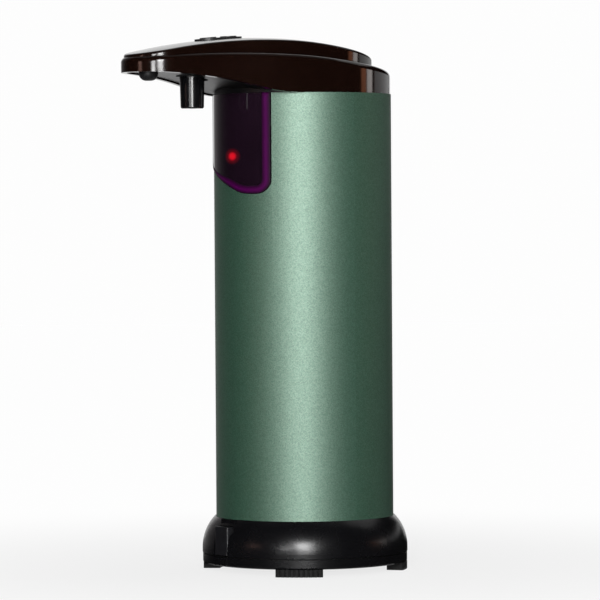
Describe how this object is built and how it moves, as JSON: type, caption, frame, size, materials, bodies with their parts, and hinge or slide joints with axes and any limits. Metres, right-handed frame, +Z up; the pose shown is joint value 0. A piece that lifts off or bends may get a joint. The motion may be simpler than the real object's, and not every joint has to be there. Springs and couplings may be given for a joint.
{
  "type": "automatic soap dispenser",
  "caption": "Standing touch-free soap dispenser: painted steel sleeve, crowned gloss head with a beak and nozzle, tinted sensor window, hinged filler lid, roller pump, flared base on feet.",
  "frame": {"origin": "floor level on the axis of the sleeve", "axes": "+Z up along the sleeve, -Y towards the nozzle, +X to the right of a user who faces the back"},
  "size_m": [0.0734, 0.1107, 0.1901],
  "materials": {
    "sleeve_paint": "metallic flake lacquer, glossy",
    "head_gloss": "polished",
    "top_gloss": "polished",
    "base_satin": "satin",
    "window_tint": "polished, dark tint",
    "foot_rubber": "matte",
    "key_rubber": "satin",
    "seal_rubber": "matte",
    "tank_plastic": "frosted",
    "frame_plastic": "matte",
    "gear_plastic": "satin",
    "roller_plastic": "satin",
    "hose_silicone": "satin",
    "pin_steel": "ground",
    "motor_steel": "plated",
    "screw_steel": "plated",
    "board_laminate": "satin lacquer",
    "switch_plastic": "matte",
    "emitter_resin": "clear",
    "receiver_resin": "dark",
    "led_resin": "clear",
    "cell_wrap": "glossy film",
    "contact_plate": "nickel plate",
    "wire_cover": "satin",
    "ribbon_film": "satin"
  },
  "bodies": {
    "dispenser": {"base_housing": "base_satin", "battery_tray": "frame_plastic", "aaa_cells": "cell_wrap", "battery_contacts": "contact_plate", "battery_leads": "wire_cover", "body_sleeve": "sleeve_paint", "sensor_window": "window_tint", "soap_tank": "tank_plastic", "tank_gasket": "seal_rubber", "pump_chassis": "frame_plastic", "filler_neck": "tank_plastic", "pickup_tube": "tank_plastic", "pump_hose": "hose_silicone", "motor": "motor_steel", "gear_axles": "pin_steel", "pump_race": "frame_plastic", "race_screws": "screw_steel", "sensor_board": "board_laminate", "ir_emitter": "emitter_resin", "ir_receiver": "receiver_resin", "indicator_led": "led_resin", "board_screws": "screw_steel", "head_shell": "head_gloss", "beak_liner": "base_satin", "liner_plug": "key_rubber", "liner_screw": "screw_steel", "nozzle": "base_satin", "nozzle_collar": "key_rubber", "top_cover": "top_gloss", "lid_hinge_pin": "pin_steel", "key_pad": "key_rubber", "key_board": "board_laminate", "key_board_screws": "screw_steel", "tact_switches": "switch_plastic", "key_ribbon": "ribbon_film"},
    "bottom_cover": {"bottom_cover": "base_satin", "rubber_feet": "foot_rubber", "cover_gasket": "seal_rubber"},
    "cover_latch": {"cover_latch": "base_satin"},
    "filler_lid": {"filler_lid": "top_gloss", "filler_stopper": "seal_rubber"},
    "plus_key": {"plus_key": "key_rubber"},
    "minus_key": {"minus_key": "key_rubber"},
    "rotor": {"rotor_gear": "gear_plastic", "pump_rotor": "frame_plastic", "roller_pins": "pin_steel"},
    "compound_gear": {"compound_gear": "gear_plastic"},
    "motor_pinion": {"motor_pinion": "gear_plastic"},
    "roller_1": {"pump_roller_1": "roller_plastic"},
    "roller_2": {"pump_roller_2": "roller_plastic"},
    "roller_3": {"pump_roller_3": "roller_plastic"}
  },
  "joints": [
    {"name": "cover_twist", "type": "hinge", "parent": "dispenser", "child": "bottom_cover", "pos_m": [0, 0, 0.006], "axis": [0, 0, 1], "range_deg": [0, 30]},
    {"name": "latch_press", "type": "slide", "parent": "dispenser", "child": "cover_latch", "axis": [0, 1, 0], "range_m": [0, 0.0012], "stiffness_N_per_m": 800},
    {"name": "lid_hinge", "type": "hinge", "parent": "dispenser", "child": "filler_lid", "pos_m": [0, 0.0202, 0.18173], "axis": [-1, 0, 0], "range_deg": [0, 100]},
    {"name": "plus_press", "type": "slide", "parent": "dispenser", "child": "plus_key", "axis": [0, 0, -1], "range_m": [0, 0.0006], "stiffness_N_per_m": 1200},
    {"name": "minus_press", "type": "slide", "parent": "dispenser", "child": "minus_key", "axis": [0, 0, -1], "range_m": [0, 0.0006], "stiffness_N_per_m": 1200},
    {"name": "rotor_spin", "type": "hinge", "parent": "dispenser", "child": "rotor", "pos_m": [0.0069, -0.01775, 0.1511], "axis": [0, 1, 0], "continuous": true},
    {"name": "compound_spin", "type": "hinge", "parent": "dispenser", "child": "compound_gear", "pos_m": [-0.0063, -0.01, 0.1511], "axis": [0, 1, 0], "continuous": true},
    {"name": "pinion_spin", "type": "hinge", "parent": "dispenser", "child": "motor_pinion", "pos_m": [-0.0195, -0.008, 0.1511], "axis": [0, 1, 0], "continuous": true},
    {"name": "roller_1_spin", "type": "hinge", "parent": "rotor", "child": "roller_1", "pos_m": [0.0129, -0.01775, 0.1511], "axis": [0, 1, 0], "continuous": true},
    {"name": "roller_2_spin", "type": "hinge", "parent": "rotor", "child": "roller_2", "pos_m": [0.0039, -0.01775, 0.1563], "axis": [0, 1, 0], "continuous": true},
    {"name": "roller_3_spin", "type": "hinge", "parent": "rotor", "child": "roller_3", "pos_m": [0.0039, -0.01775, 0.1459], "axis": [0, 1, 0], "continuous": true}
  ],
  "couplings": [
    {"joint": "compound_spin", "follows": "rotor_spin", "ratio": -3.4},
    {"joint": "pinion_spin", "follows": "rotor_spin", "ratio": 11.56},
    {"joint": "roller_1_spin", "follows": "rotor_spin", "ratio": -3.4},
    {"joint": "roller_2_spin", "follows": "rotor_spin", "ratio": -3.4},
    {"joint": "roller_3_spin", "follows": "rotor_spin", "ratio": -3.4}
  ]
}
